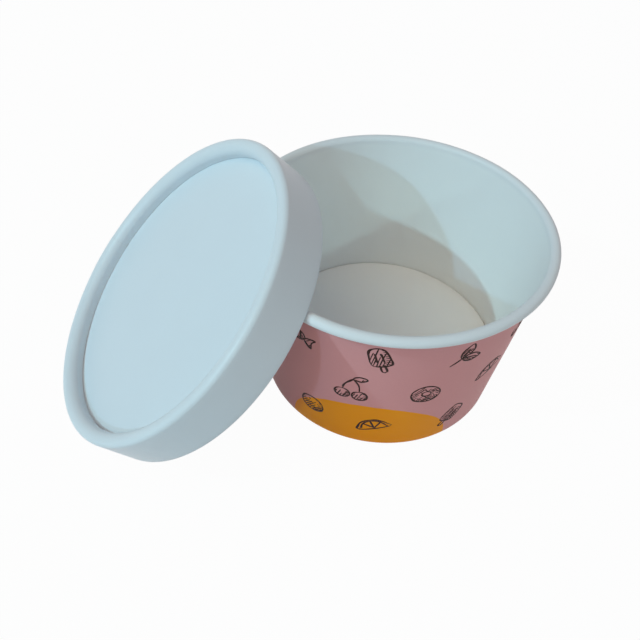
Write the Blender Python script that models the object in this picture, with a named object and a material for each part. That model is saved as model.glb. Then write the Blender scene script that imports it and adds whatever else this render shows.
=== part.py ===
"""Paper dessert cup of about 250 ml with its own lid, which leans against the rolled rim.

Every piece is board that is cut flat, wrapped or pressed, and glued. The cup is a tapered sidewall
and a base disc, the lid a band and a recessed panel. Metres, +Z up. The origin is on the table
under the middle of the whole set, and the lid leans towards -X.
"""
import math

import bmesh
import bpy
import numpy as np
from mathutils import Matrix, Vector
from mathutils.geometry import delaunay_2d_cdt

# Cup
RIM_RADIUS = 0.0475
CUP_HEIGHT = 0.0577
BASE_RADIUS = 0.0385
BEAD_RADIUS = 0.0016
CUP_BOARD = 0.0004
BASE_BOARD = 0.00045
FLOOR_HEIGHT = 0.0072
FOLD_RADIUS = 0.0006
BASE_BEND_RADIUS = 0.0009
CURL_OPENING = math.radians(50)

# Lid
LID_EDGE_RADIUS = 0.0489
LID_TOP_RADIUS = 0.0489
LID_HEIGHT = 0.0148
LID_BOARD = 0.00045
PANEL_BOARD = 0.0005
RIM_FOLD_RADIUS = 0.0018
PANEL_DEPTH = 0.004
PANEL_BEND_RADIUS = 0.0009
EDGE_ROLL_RADIUS = 0.0008
EDGE_ROLL_TURN = math.radians(230)
LEAN_ANGLE = math.radians(43.8)

# Glued laps, whose step is a share of the board once pressed, and the clearance where pieces meet
LAP_WIDTH = 0.008
LAP_FADE = 0.013
LAP_PRESSED_SHARE = 0.7
FIT_GAP = 0.0003
CUP_LAP_AZIMUTH = math.radians(172)
LID_LAP_AZIMUTH = math.radians(118)

# Printed hills that rise from the foot of the sidewall: middle and half width as shares of a turn,
# top as a share of the cup's height
HILL_SHARES = ((0.6915, 0.106, 0.372), (0.06, 0.1, 0.26), (0.245, 0.07, 0.2), (0.42, 0.095, 0.3))

# Pen drawings of sweets, as strokes from point to point in shares of a drawing's size. They are
# printed round the sidewall at shares of a turn and of the cup's height, tilted by a share of a
# turn, and none crosses the seam where the print starts.
INK_WIDTH = 0.00045
DRAWING_SIZE = 0.012
SEAM_SHARE = 0.553
CHERRY_SHARES = (
    ((-0.208, -0.067), (-0.332, -0.11), (-0.397, -0.218), (-0.374, -0.342), (-0.274, -0.422),
     (-0.143, -0.422), (-0.042, -0.342), (-0.02, -0.218), (-0.085, -0.11), (-0.208, -0.067)),
    ((0.217, -0.125), (0.099, -0.166), (0.036, -0.27), (0.058, -0.388), (0.154, -0.464),
     (0.279, -0.464), (0.375, -0.388), (0.397, -0.27), (0.335, -0.166), (0.217, -0.125)),
    ((-0.183, -0.067), (-0.075, 0.183), (0.117, 0.392)),
    ((0.225, -0.125), (0.225, 0.15), (0.117, 0.392)),
    ((0.117, 0.392), (0.267, 0.492), (0.467, 0.417), (0.308, 0.325), (0.117, 0.392)))
LOLLY_SHARES = (
    ((-0.208, -0.2), (-0.217, 0.233), (-0.125, 0.408), (0.125, 0.408), (0.217, 0.233), (0.208, -0.2),
     (-0.208, -0.2)),
    ((-0.05, -0.2), (-0.05, -0.45), (0.05, -0.45), (0.05, -0.2)),
    ((-0.075, -0.1), (-0.075, 0.242)),
    ((0.075, -0.1), (0.075, 0.242)))
SWEET_SHARES = (
    ((0.217, 0), (0.153, 0.13), (0, 0.183), (-0.153, 0.13), (-0.217, 0), (-0.153, -0.13), (-0, -0.183),
     (0.153, -0.13), (0.217, 0)),
    ((-0.217, 0.033), (-0.45, 0.192), (-0.408, 0), (-0.45, -0.192), (-0.217, -0.033)),
    ((0.217, 0.033), (0.45, 0.192), (0.408, 0), (0.45, -0.192), (0.217, -0.033)),
    ((-0.092, 0.167), (0.008, -0.183)),
    ((0.058, 0.175), (0.142, -0.133)))
DOUGHNUT_SHARES = (
    ((0.358, 0), (0.31, 0.167), (0.179, 0.289), (0, 0.333), (-0.179, 0.289), (-0.31, 0.167),
     (-0.358, 0), (-0.31, -0.167), (-0.179, -0.289), (-0, -0.333), (0.179, -0.289), (0.31, -0.167),
     (0.358, 0)),
    ((0.125, 0.017), (0.081, 0.095), (-0.018, 0.114), (-0.097, 0.06), (-0.097, -0.027),
     (-0.018, -0.081), (0.081, -0.062), (0.125, 0.017)),
    ((-0.267, -0.042), (-0.217, 0.033)),
    ((-0.158, 0.183), (-0.083, 0.217)),
    ((0.092, 0.208), (0.158, 0.158)),
    ((0.208, 0.017), (0.258, -0.058)),
    ((0.108, -0.225), (0.167, -0.158)),
    ((-0.142, -0.2), (-0.067, -0.217)))
CITRUS_SHARES = (
    ((0.408, -0.183), (0.377, -0.027), (0.289, 0.105), (0.156, 0.194), (0, 0.225), (-0.156, 0.194),
     (-0.289, 0.105), (-0.377, -0.027), (-0.408, -0.183), (0.408, -0.183)),
    ((0.324, -0.136), (0.274, 0.017), (0.156, 0.127), (0, 0.167), (-0.156, 0.127), (-0.274, 0.017),
     (-0.324, -0.136)),
    ((0, -0.158), (0, 0.142)),
    ((0, -0.158), (-0.225, 0.058)),
    ((0, -0.158), (0.225, 0.058)))
BISCUIT_SHARES = (
    ((0.298, 0.103), (0.192, 0.239), (0.025, 0.299), (-0.15, 0.264), (-0.277, 0.146), (-0.316, -0.019),
     (-0.255, -0.178), (-0.113, -0.28), (0.065, -0.294), (0.222, -0.214), (0.309, -0.066),
     (0.298, 0.103)),
    ((-0.2, -0.075), (-0.15, -0.033)),
    ((-0.125, 0.142), (-0.067, 0.158)),
    ((-0.025, 0.017), (0.033, -0.008)),
    ((0.142, 0.1), (0.183, 0.05)),
    ((0.075, -0.158), (0.125, -0.125)),
    ((-0.075, -0.192), (-0.033, -0.158)))
MINT_SHARES = (
    ((-0.067, -0.067), (-0.133, 0.2), (0.05, 0.433), (0.158, 0.183), (-0.067, -0.067)),
    ((-0.067, -0.067), (0.167, 0.075), (0.433, -0.05), (0.192, -0.2), (-0.067, -0.067)),
    ((-0.067, -0.067), (-0.283, -0.333)),
    ((-0.067, -0.067), (0.025, 0.267)),
    ((-0.067, -0.067), (0.3, -0.058)))
DRAWING_SHARES = (CHERRY_SHARES, LOLLY_SHARES, SWEET_SHARES, DOUGHNUT_SHARES, CITRUS_SHARES,
                  BISCUIT_SHARES, MINT_SHARES)
PLACE_SHARES = (
    (0.6056, 0.78, -0.056, 2), (0.6944, 0.789, 0.05, 1), (0.7806, 0.771, -0.022, 6),
    (0.8667, 0.78, 0.039, 0), (0.9528, 0.763, -0.033, 3), (0.0389, 0.789, 0.028, 5),
    (0.125, 0.771, -0.044, 4), (0.2111, 0.78, 0.022, 2), (0.2972, 0.763, -0.028, 1),
    (0.3833, 0.789, 0.044, 6), (0.4639, 0.771, -0.017, 3), (0.6667, 0.511, 0.017, 0),
    (0.75, 0.494, -0.039, 3), (0.8333, 0.52, 0.056, 4), (0.9194, 0.485, -0.022, 6),
    (0.0083, 0.503, 0.033, 2), (0.1778, 0.511, -0.05, 0), (0.3389, 0.494, 0.028, 5),
    (0.4889, 0.503, -0.033, 2), (0.6194, 0.217, -0.028, 5), (0.6972, 0.199, 0.067, 4),
    (0.7972, 0.191, -0.083, 1), (0.1278, 0.208, 0.039, 6), (0.2583, 0.217, -0.044, 3))

# Facets
RING_STEPS = 60
CURL_STEPS = 9
BEND_STEPS = 2
SOFT_BEND_STEPS = 3
FOLD_STEPS = 6
ROLL_STEPS = 6
SOLVE_STEPS = 48
HILL_STEPS = 14
PRINT_MERGE = 0.00002

TURN = 2 * math.pi
HALF_TURN = math.pi
QUARTER_TURN = math.pi / 2


def arc(centre, radius, start, end, steps):
    """Points on an arc in the (radius, height) half plane, ends included."""
    points = []
    for step in range(steps + 1):
        angle = start + (end - start) * step / steps
        points.append((centre[0] + radius * math.cos(angle), centre[1] + radius * math.sin(angle)))
    return points


def path_normals(path):
    """Unit normals on the left of a path, averaged where two stretches meet."""
    stretches = []
    for first, second in zip(path, path[1:]):
        run, rise = second[0] - first[0], second[1] - first[1]
        length = math.hypot(run, rise)
        stretches.append((-rise / length, run / length))
    normals = [stretches[0]]
    for before, after in zip(stretches, stretches[1:]):
        middle = (before[0] + after[0], before[1] + after[1])
        scale = (1 + before[0] * after[0] + before[1] * after[1])
        normals.append((middle[0] / scale, middle[1] / scale))
    normals.append(stretches[-1])
    return normals


def board_section(path, board, outer_step=0, inner_step=0, flat_below=0):
    """The section of a board whose middle runs along a path: its left face, then its right face
    back again. The steps lift either face to the left, where the board rides over a lap. They
    shrink to nothing at the foot from the height under which the lap is pressed flat."""
    left, right = [], []
    for (radius, height), (out, up) in zip(path, path_normals(path)):
        share = ramp(height, flat_below / 2, flat_below) if flat_below else 1
        lift = board / 2 + outer_step * share
        left.append((radius + out * lift, height + up * lift))
        drop = board / 2 - inner_step * share
        right.append((radius - out * drop, height - up * drop))
    return left + right[::-1]


def ramp(value, start, end):
    """0 before start, 1 after end, and even between them."""
    return min(max((value - start) / (end - start), 0), 1)


def lap_steps(angle, lap_azimuth, radius, board):
    """How far the outer and the inner face of a wrapped board are lifted at an angle.

    The outer end of the blank lies on the inner end for the width of the lap, then comes down
    to the plain wall over a short way.
    """
    along = ((angle - lap_azimuth) % TURN) * radius
    landing = LAP_WIDTH + board
    down = 1 - ramp(along, landing, landing + LAP_FADE)
    outer = ramp(along, 0, board) * down
    inner = ramp(along, LAP_WIDTH, landing) * down
    return outer * board * LAP_PRESSED_SHARE, inner * board * LAP_PRESSED_SHARE


def lap_angles(lap_azimuth, radius, board):
    """The angles at which a lap's faces change direction."""
    landing = LAP_WIDTH + board
    return [lap_azimuth + way / radius for way in (0, board, LAP_WIDTH, landing, landing + LAP_FADE)]


def ring_angles(lap=()):
    """Even angles round a turn, which give way to a lap's own angles close to them."""
    step = TURN / RING_STEPS
    own = [angle % TURN for angle in lap]
    angles = list(own)
    for index in range(RING_STEPS):
        angle = index * step
        nearest = min([abs((angle - other + HALF_TURN) % TURN - HALF_TURN) for other in own] or [step])
        if nearest > step / 4:
            angles.append(angle)
    return sorted(angles)


def new_material(name, colour, roughness):
    material = bpy.data.materials.new(name)
    material.use_nodes = True
    shader = material.node_tree.nodes["Principled BSDF"]
    shader.inputs["Base Color"].default_value = (*colour, 1)
    shader.inputs["Roughness"].default_value = roughness
    shader.inputs["Metallic"].default_value = 0
    material.diffuse_color = (*colour, 1)
    return material


def turned_object(name, sections, angles, materials, face_material=None, closed=True, print_from=None):
    """A ring or a disc through one section at each angle. A disc's sections start and end on the
    axis, where one point serves all angles. The faces after one point of the section may be left
    to the print, which divides them along its own edges."""
    mesh = bmesh.new()
    count = len(sections[0])
    last = 0 if closed else count - 1
    poles = {}
    rings = []
    for section, angle in zip(sections, angles):
        ring = []
        for index, (radius, height) in enumerate(section):
            if not closed and index in (0, last):
                if index not in poles:
                    poles[index] = mesh.verts.new((0, 0, height))
                ring.append(poles[index])
                continue
            ring.append(mesh.verts.new((radius * math.cos(angle), radius * math.sin(angle), height)))
        rings.append(ring)
    for ring, following, angle in zip(rings, rings[1:] + rings[:1], angles):
        for index in range(count if closed else count - 1):
            if index == print_from:
                continue
            after = (index + 1) % count
            corners = [ring[index], following[index], following[after], ring[after]]
            face = mesh.faces.new(list(dict.fromkeys(corners)))
            face.material_index = face_material(index, angle) if face_material else 0
    if print_from is not None:
        add_print(mesh, rings, print_from, angles)
    bmesh.ops.recalc_face_normals(mesh, faces=mesh.faces)
    data = bpy.data.meshes.new(name)
    mesh.to_mesh(data)
    mesh.free()
    for material in materials:
        data.materials.append(material)
    data.shade_smooth()
    data.set_sharp_from_angle(angle=math.radians(40))
    result = bpy.data.objects.new(name, data)
    bpy.context.collection.objects.link(result)
    return result


def wall_line():
    """The straight stretch of the sidewall's middle: its taper and its ends at foot and bead.

    It leaves the inner side of the bead's circle and meets the outer side of the foot's fold.
    """
    bead_turn = BEAD_RADIUS - CUP_BOARD / 2
    fold_turn = FOLD_RADIUS - CUP_BOARD / 2
    bead = (RIM_RADIUS - BEAD_RADIUS, CUP_HEIGHT - BEAD_RADIUS)
    fold = (BASE_RADIUS - FOLD_RADIUS, FOLD_RADIUS)
    run, rise = bead[0] - fold[0], bead[1] - fold[1]
    taper = math.atan2(run, rise) - math.asin((bead_turn + fold_turn) / math.hypot(run, rise))
    foot = (fold[0] + fold_turn * math.cos(taper), fold[1] - fold_turn * math.sin(taper))
    return taper, foot, bead, fold


def wall_reach(height):
    """Radius of the sidewall's middle at a height."""
    taper, foot, _, _ = wall_line()
    return foot[0] + (height - foot[1]) * math.tan(taper)


def in_hill(angle):
    """Whether a printed hill stands at an angle."""
    away = [((angle / TURN - middle + 1 / 2) % 1 - 1 / 2) / half_width
            for middle, half_width, _ in HILL_SHARES]
    return min(abs(share) for share in away) < 1


def hill_outlines(foot_height, facet_angles):
    """Each printed hill as (angle, height) points: an arch that stands on the wall's foot, and
    starts and ends at the nearest edges of its facets."""
    outlines = []
    for middle, half_width, height in HILL_SHARES:
        ends = []
        for wanted in ((middle - half_width) * TURN, (middle + half_width) * TURN):
            away = [(angle - wanted + HALF_TURN) % TURN - HALF_TURN for angle in facet_angles]
            ends.append(wanted + min(away, key=abs))
        centre, reach = (ends[0] + ends[1]) / 2, (ends[1] - ends[0]) / 2
        outline = []
        for step in range(HILL_STEPS + 1):
            turn = HALF_TURN * step / HILL_STEPS
            rise = foot_height + (height * CUP_HEIGHT - foot_height) * math.sin(turn)
            outline.append((centre + reach * math.cos(turn), rise))
        outlines.append(outline)
    return outlines


def pen_stroke(points):
    """The two sides of a pen stroke of even width, and whether it closes on itself."""
    closed = points[0] == points[-1]
    if closed:
        points = points[:-1]
    count = len(points)
    sides = ([], [])
    for index, point in enumerate(points):
        before = points[index - 1] if closed or index else point
        after = points[(index + 1) % count] if closed or index < count - 1 else point
        come = (Vector(point) - Vector(before)).normalized()
        go = (Vector(after) - Vector(point)).normalized()
        ahead = (come + go).normalized()
        reach = INK_WIDTH / 2 / max(ahead.dot(go if go.length else come), 1 / 2)
        for side, sign in zip(sides, (1, -1)):
            side.append((point[0] - sign * ahead.y * reach, point[1] + sign * ahead.x * reach))
    return sides, closed


def ink_patches():
    """The printed drawings as four-cornered patches in (angle, height), one for each straight
    part of a stroke."""
    patches = []
    for place, rise, tilt, drawing in PLACE_SHARES:
        middle = (place * TURN, rise * CUP_HEIGHT)
        turn = Matrix.Rotation(tilt * TURN, 2)
        for stroke in DRAWING_SHARES[drawing]:
            (left, right), closed = pen_stroke([tuple(DRAWING_SIZE * turn @ Vector(point))
                                                for point in stroke])
            edges = [[(middle[0] + across / wall_reach(middle[1] + up), middle[1] + up)
                      for across, up in side] for side in (left, right)]
            for index in range(len(left) if closed else len(left) - 1):
                after = (index + 1) % len(left)
                patches.append([edges[0][index], edges[1][index], edges[1][after], edges[0][after]])
    return patches


def add_print(mesh, rings, band, angles):
    """Fills the outside of the sidewall with the printed areas.

    The wall is laid out flat from the seam round to the seam, and is divided there along its
    facets, the hills and the pen strokes. Each new corner goes back onto the flat facet it is in.
    """
    seam = min(angles, key=lambda angle: abs(angle - SEAM_SHARE * TURN))
    order = sorted(range(len(angles)), key=lambda index: (angles[index] - seam) % TURN)
    stations = [(angles[index] - seam) % TURN for index in order] + [TURN]
    tops = [rings[index][band] for index in order + order[:1]]
    feet = [rings[index][band + 1] for index in order + order[:1]]
    top_height, foot_height = tops[0].co.z, feet[0].co.z

    def laid_flat(angle, height):
        return Vector(((angle - seam) % TURN * BASE_RADIUS, height - foot_height))

    corners, edges, areas = [], [], []
    for station in stations:
        corners += [Vector((station * BASE_RADIUS, 0)),
                    Vector((station * BASE_RADIUS, top_height - foot_height))]
    last = len(stations) - 1
    for index in range(last):
        start = 2 * index
        edges += [(start, start + 1), (start, start + 2), (start + 1, start + 3)]
    edges.append((2 * last, 2 * last + 1))
    outlines = [[laid_flat(*point) for point in outline]
                for outline in hill_outlines(foot_height, angles)]
    amber_areas = len(outlines)
    outlines += [[laid_flat(*point) for point in patch] for patch in ink_patches()]
    for outline in outlines:
        start = len(corners)
        corners += outline
        area = list(range(start, start + len(outline)))
        twice = sum(outline[index - 1].cross(outline[index]) for index in range(len(outline)))
        areas.append(area if twice > 0 else area[::-1])
    places, _, faces, origins, _, sources = delaunay_2d_cdt(corners, edges, areas, 0, PRINT_MERGE, True)

    points = []
    seam_points = {}
    for place, origin in zip(places, origins):
        own = [index for index in origin if index < 2 * len(stations)]
        if own:
            points.append((feet, tops)[own[0] % 2][own[0] // 2])
            continue
        angle = min(max(place.x / BASE_RADIUS, 0), TURN)
        share = place.y / (top_height - foot_height)
        index = max(index for index in range(last) if stations[index] <= angle)
        part = (angle - stations[index]) / (stations[index + 1] - stations[index])
        sides = [feet[at].co.lerp(tops[at].co, share) for at in (index, index + 1)]
        at_seam = min(angle, TURN - angle) * BASE_RADIUS < PRINT_MERGE
        known = seam_points.get(round(place.y / PRINT_MERGE)) if at_seam else None
        point = known or mesh.verts.new(sides[0].lerp(sides[1], part))
        if at_seam:
            seam_points[round(place.y / PRINT_MERGE)] = point
        points.append(point)
    for face, source in zip(faces, sources):
        patch = [points[index] for index in face]
        if len(set(patch)) < len(patch):
            continue
        piece = mesh.faces.new(patch)
        if any(area >= amber_areas for area in source):
            piece.material_index = 3
        elif source:
            piece.material_index = 2
        else:
            piece.material_index = 1


def make_sidewall():
    """One printed blank: rolled outwards into the bead at the top, and at the foot turned in and
    up again, to just under the base's bend, to hold the base's skirt."""
    taper, foot, bead, fold = wall_line()
    hem_height = FLOOR_HEIGHT - BASE_BEND_RADIUS - FIT_GAP
    bead_turn = BEAD_RADIUS - CUP_BOARD / 2
    fold_turn = FOLD_RADIUS - CUP_BOARD / 2
    pocket = BASE_BOARD + 2 * FIT_GAP
    hem_fold = (fold[0] - (pocket + CUP_BOARD - 2 * fold_turn) / math.cos(taper), fold[1])
    curl = arc(bead, bead_turn, CURL_OPENING - HALF_TURN, HALF_TURN - taper, CURL_STEPS)
    outer_bend = arc(fold, fold_turn, -taper, -QUARTER_TURN, BEND_STEPS)
    hem_bend = arc(hem_fold, fold_turn, -QUARTER_TURN, -HALF_TURN - taper, BEND_STEPS)
    leg = hem_bend[-1]
    hem_top = (leg[0] + (hem_height - leg[1]) * math.tan(taper), hem_height)

    lap = lap_angles(CUP_LAP_AZIMUTH, BASE_RADIUS, CUP_BOARD)
    angles = ring_angles(lap)
    sections = []
    path = curl + outer_bend + hem_bend + [hem_top]
    for angle in angles:
        outer, inner = lap_steps(angle, CUP_LAP_AZIMUTH, BASE_RADIUS, CUP_BOARD)
        sections.append(board_section(path, CUP_BOARD, outer, inner, flat_below=hem_height))

    wall_top = len(curl) - 1

    def face_material(index, angle):
        if wall_top < index <= wall_top + len(outer_bend):
            return 2 if in_hill(angle + HALF_TURN / RING_STEPS) else 1
        return 0

    materials = [new_material("white_coated_board", (0.80, 0.84, 0.85), 0.42),
                 new_material("pink_print", (0.68, 0.30, 0.31), 0.45),
                 new_material("amber_print", (0.80, 0.31, 0.02), 0.45),
                 new_material("ink_print", (0.035, 0.025, 0.03), 0.5)]
    return turned_object("cup_sidewall", sections, angles, materials, face_material,
                         print_from=wall_top)


def make_base():
    """A disc pressed with a skirt, which stands in the pocket of the sidewall's foot."""
    taper, foot, _, _ = wall_line()
    bend_turn = BASE_BEND_RADIUS - BASE_BOARD / 2
    inset = (CUP_BOARD + BASE_BOARD) / 2 + FIT_GAP
    middle = FLOOR_HEIGHT - BASE_BOARD / 2
    bend_height = middle - bend_turn
    across = (bend_height - foot[1]) * math.sin(taper) - inset - bend_turn
    bend = (foot[0] + across / math.cos(taper), bend_height)
    corner = arc(bend, bend_turn, QUARTER_TURN, -taper, SOFT_BEND_STEPS)
    skirt_foot = CUP_BOARD + FIT_GAP
    edge = corner[-1]
    end = (edge[0] - (edge[1] - skirt_foot) * math.tan(taper), skirt_foot)
    path = [(0, middle)] + corner + [end]
    angles = ring_angles()
    sections = [board_section(path, BASE_BOARD)] * len(angles)
    material = new_material("white_base_board", (0.80, 0.82, 0.81), 0.45)
    return turned_object("cup_base", sections, angles, [material], closed=False)


def lid_fold_centre():
    return LID_TOP_RADIUS - RIM_FOLD_RADIUS, LID_HEIGHT - RIM_FOLD_RADIUS


def lid_roll_centre():
    return LID_EDGE_RADIUS - EDGE_ROLL_RADIUS, EDGE_ROLL_RADIUS


def band_middle(height):
    """Radius of the band's middle at a height over its open edge."""
    fold, roll = lid_fold_centre(), lid_roll_centre()
    bottom = LID_EDGE_RADIUS - LID_BOARD / 2
    top = LID_TOP_RADIUS - LID_BOARD / 2
    return bottom + (top - bottom) * (height - roll[1]) / (fold[1] - roll[1])


def make_lid_band():
    """A strip wrapped round the panel: folded over and down inside at the top, and rolled in at
    its open edge."""
    fold, roll = lid_fold_centre(), lid_roll_centre()
    edge_roll = arc(roll, EDGE_ROLL_RADIUS - LID_BOARD / 2, -EDGE_ROLL_TURN, 0, ROLL_STEPS)
    rim_fold = arc(fold, RIM_FOLD_RADIUS - LID_BOARD / 2, 0, HALF_TURN, FOLD_STEPS)
    leg_foot = (rim_fold[-1][0], LID_HEIGHT - PANEL_DEPTH + FIT_GAP)
    path = (edge_roll + rim_fold + [leg_foot])[::-1]
    angles = ring_angles(lap_angles(LID_LAP_AZIMUTH, LID_EDGE_RADIUS, LID_BOARD))
    sections = []
    for angle in angles:
        outer, inner = lap_steps(angle, LID_LAP_AZIMUTH, LID_EDGE_RADIUS, LID_BOARD)
        sections.append(board_section(path, LID_BOARD, outer, inner))
    material = new_material("white_lid_board", (0.80, 0.85, 0.87), 0.42)
    return turned_object("lid_band", sections, angles, [material])


def make_lid_panel():
    """A disc pressed with an upright flange, glued inside the band under its fold."""
    fold = lid_fold_centre()
    bend_turn = PANEL_BEND_RADIUS - PANEL_BOARD / 2
    middle = LID_HEIGHT - PANEL_DEPTH - PANEL_BOARD / 2
    narrowest = min(band_middle(middle), band_middle(fold[1]))
    flange = narrowest - (LID_BOARD + PANEL_BOARD) / 2 - FIT_GAP
    corner = arc((flange - bend_turn, middle + bend_turn), bend_turn, -QUARTER_TURN, 0, SOFT_BEND_STEPS)
    path = [(0, middle)] + corner + [(flange, fold[1])]
    angles = ring_angles()
    sections = [board_section(path, PANEL_BOARD)] * len(angles)
    material = new_material("white_panel_board", (0.80, 0.86, 0.89), 0.40)
    return turned_object("lid_panel", sections, angles, [material], closed=False)


def lid_centre(distance):
    """Middle of the lid's open edge over the table, with the rolled edge resting on it."""
    radius, height = lid_roll_centre()
    lift = EDGE_ROLL_RADIUS + radius * math.sin(LEAN_ANGLE) - height * math.cos(LEAN_ANGLE)
    return -distance, lift


def lean_clearance(distance):
    """Least gap between the cup's bead and the lid, for a lid this far from the cup's axis.

    Points on the bead's core circle are taken into the lid's own frame: how far they lie from
    its axis, and how far out along it from the open edge.
    """
    centre_x, centre_z = lid_centre(distance)
    roll_radius, roll_height = lid_roll_centre()
    panel_under = LID_HEIGHT - PANEL_DEPTH - PANEL_BOARD
    slope = math.atan2(band_middle(panel_under) - band_middle(roll_height), panel_under - roll_height)
    angles = np.linspace(QUARTER_TURN, HALF_TURN, RING_STEPS * SOLVE_STEPS)
    run = (RIM_RADIUS - BEAD_RADIUS) * np.cos(angles) - centre_x
    side = (RIM_RADIUS - BEAD_RADIUS) * np.sin(angles)
    rise = CUP_HEIGHT - BEAD_RADIUS - centre_z
    out = rise * math.cos(LEAN_ANGLE) - run * math.sin(LEAN_ANGLE)
    radius = np.hypot(run * math.cos(LEAN_ANGLE) + rise * math.sin(LEAN_ANGLE), side)
    to_roll = np.hypot(radius - roll_radius, out - roll_height) - EDGE_ROLL_RADIUS
    to_band = (band_middle(out) - radius) * math.cos(slope) - LID_BOARD / 2
    to_lid = np.minimum(to_band, panel_under - out)
    return np.where(out > roll_height, np.minimum(to_roll, to_lid), to_roll).min() - BEAD_RADIUS


def lid_distance():
    """How far the lid's middle lies from the cup's axis once the lid leans on the bead."""
    near, far = 0, RIM_RADIUS + LID_EDGE_RADIUS
    for _ in range(SOLVE_STEPS):
        middle = (near + far) / 2
        if lean_clearance(middle) < FIT_GAP:
            near = middle
        else:
            far = middle
    return far


def new_empty(name):
    empty = bpy.data.objects.new(name, None)
    bpy.context.collection.objects.link(empty)
    return empty


def build():
    for old in list(bpy.data.objects):
        bpy.data.objects.remove(old, do_unlink=True)

    lid_x, lid_z = lid_centre(lid_distance())
    fold = lid_fold_centre()
    lid_reach = (lid_x - fold[0] * math.cos(LEAN_ANGLE) - fold[1] * math.sin(LEAN_ANGLE)
                 - RIM_FOLD_RADIUS)
    cup_x = -(RIM_RADIUS + lid_reach) / 2

    cup = new_empty("cup")
    cup.location = (cup_x, 0, 0)
    for piece in (make_sidewall(), make_base()):
        piece.parent = cup

    lid = new_empty("lid")
    lid.matrix_world = (Matrix.Translation((cup_x + lid_x, 0, lid_z))
                        @ Matrix.Rotation(-LEAN_ANGLE, 4, "Y"))
    for piece in (make_lid_band(), make_lid_panel()):
        piece.parent = lid


build()
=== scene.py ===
"""Looks of the paper dessert cup and the lid that leans on its rim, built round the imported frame.

Metres, +Z up, in the frame's own place. The cup stands towards +X and its lid leans over from -X.
"""

import math
import random

import bmesh
import bpy
from mathutils import Matrix, Vector


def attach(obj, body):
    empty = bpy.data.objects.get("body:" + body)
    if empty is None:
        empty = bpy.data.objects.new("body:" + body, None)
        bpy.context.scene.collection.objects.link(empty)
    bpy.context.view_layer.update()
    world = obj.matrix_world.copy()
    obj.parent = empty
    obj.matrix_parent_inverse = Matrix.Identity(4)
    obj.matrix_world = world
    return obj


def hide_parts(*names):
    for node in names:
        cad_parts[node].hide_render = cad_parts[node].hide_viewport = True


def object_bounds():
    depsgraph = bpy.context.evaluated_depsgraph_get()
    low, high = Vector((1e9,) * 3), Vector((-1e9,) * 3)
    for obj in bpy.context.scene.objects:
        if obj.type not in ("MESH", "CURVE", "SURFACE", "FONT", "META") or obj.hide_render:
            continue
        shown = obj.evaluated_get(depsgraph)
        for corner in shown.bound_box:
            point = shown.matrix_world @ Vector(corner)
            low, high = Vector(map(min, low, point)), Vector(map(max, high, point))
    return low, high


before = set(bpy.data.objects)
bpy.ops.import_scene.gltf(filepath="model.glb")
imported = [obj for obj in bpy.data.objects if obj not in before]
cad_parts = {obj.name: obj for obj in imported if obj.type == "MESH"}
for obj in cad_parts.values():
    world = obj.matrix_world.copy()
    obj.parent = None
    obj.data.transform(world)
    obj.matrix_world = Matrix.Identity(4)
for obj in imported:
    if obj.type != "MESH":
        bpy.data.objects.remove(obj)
cad_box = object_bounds()

# Viewpoint: a hand-held look down into the cup from just over its front, rolled a little to the
# left. It is a 36 mm frame with a 39 mm lens, no shift and no depth of field.
EYE = (-0.031171, -0.149964, 0.182439)
EYE_TURN = tuple(math.radians(angle) for angle in (43.483, -2.151, -11.913))
FRAME_WIDTH = 36
LENS = 38.76
NEAREST_SEEN = 0.01

bpy.ops.object.select_all(action="DESELECT")
bpy.ops.object.camera_add(location=EYE, rotation=EYE_TURN)
camera = bpy.context.object
camera.name = "viewpoint"
camera.data.sensor_width = FRAME_WIDTH
camera.data.lens = LENS
camera.data.clip_start = NEAREST_SEEN
bpy.context.scene.camera = camera


# Table and light: a plain pale sheet under the set, soft light from two windows and a ceiling on
# the left, a weaker light in front on the right, and an even dim surround.

# Sockets by number of a node that mixes colours, because their names come more than once
MIX_SHARE, MIX_FIRST, MIX_SECOND, MIX_COLOUR = 0, 6, 7, 2


class Reading:
    """What one socket of a material gives at each point, ready for sums with numbers."""

    def __init__(self, tree, socket):
        self.tree = tree
        self.socket = socket

    def node(self, kind, settings=None, sockets=None, result=0):
        """Adds a node: its settings first, then the values or readings of its sockets."""
        added = self.tree.nodes.new(kind)
        for name, value in (settings or {}).items():
            setattr(added, name, value)
        for name, value in (sockets or {}).items():
            if isinstance(value, Reading):
                self.tree.links.new(value.socket, added.inputs[name])
            else:
                added.inputs[name].default_value = value
        return Reading(self.tree, added.outputs[result])

    def maths(self, operation, *terms, clamped=False):
        return self.node("ShaderNodeMath", {"operation": operation, "use_clamp": clamped},
                         dict(enumerate(terms)))

    def __add__(self, other):
        return self.maths("ADD", self, other)

    def __radd__(self, other):
        return self.maths("ADD", other, self)

    def __sub__(self, other):
        return self.maths("SUBTRACT", self, other)

    def __rsub__(self, other):
        return self.maths("SUBTRACT", other, self)

    def __mul__(self, other):
        return self.maths("MULTIPLY", self, other)

    def __rmul__(self, other):
        return self.maths("MULTIPLY", other, self)

    def __truediv__(self, other):
        return self.maths("DIVIDE", self, other)

    def larger(self, other):
        return self.maths("MAXIMUM", self, other)

    def clamp(self):
        return self.maths("ADD", self, 0, clamped=True)

    def root(self):
        return self.maths("SQRT", self)

    def fraction(self):
        return self.maths("FRACT", self)

    def mix(self, first, second):
        """A colour between two, at this share of the second."""
        sockets = {MIX_SHARE: self, MIX_FIRST: first, MIX_SECOND: second}
        return self.node("ShaderNodeMix", {"data_type": "RGBA"}, sockets, MIX_COLOUR)

    def noise(self, scale, detail=2, roughness=0.5):
        """Soft mottling in space, for a reading that gives places."""
        return self.node("ShaderNodeTexNoise", None, {
            "Vector": self, "Scale": scale, "Detail": detail, "Roughness": roughness})

    def part(self, axis):
        """One of X, Y and Z, for a reading that gives places."""
        return self.node("ShaderNodeSeparateXYZ", None, {"Vector": self}, axis)


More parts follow.
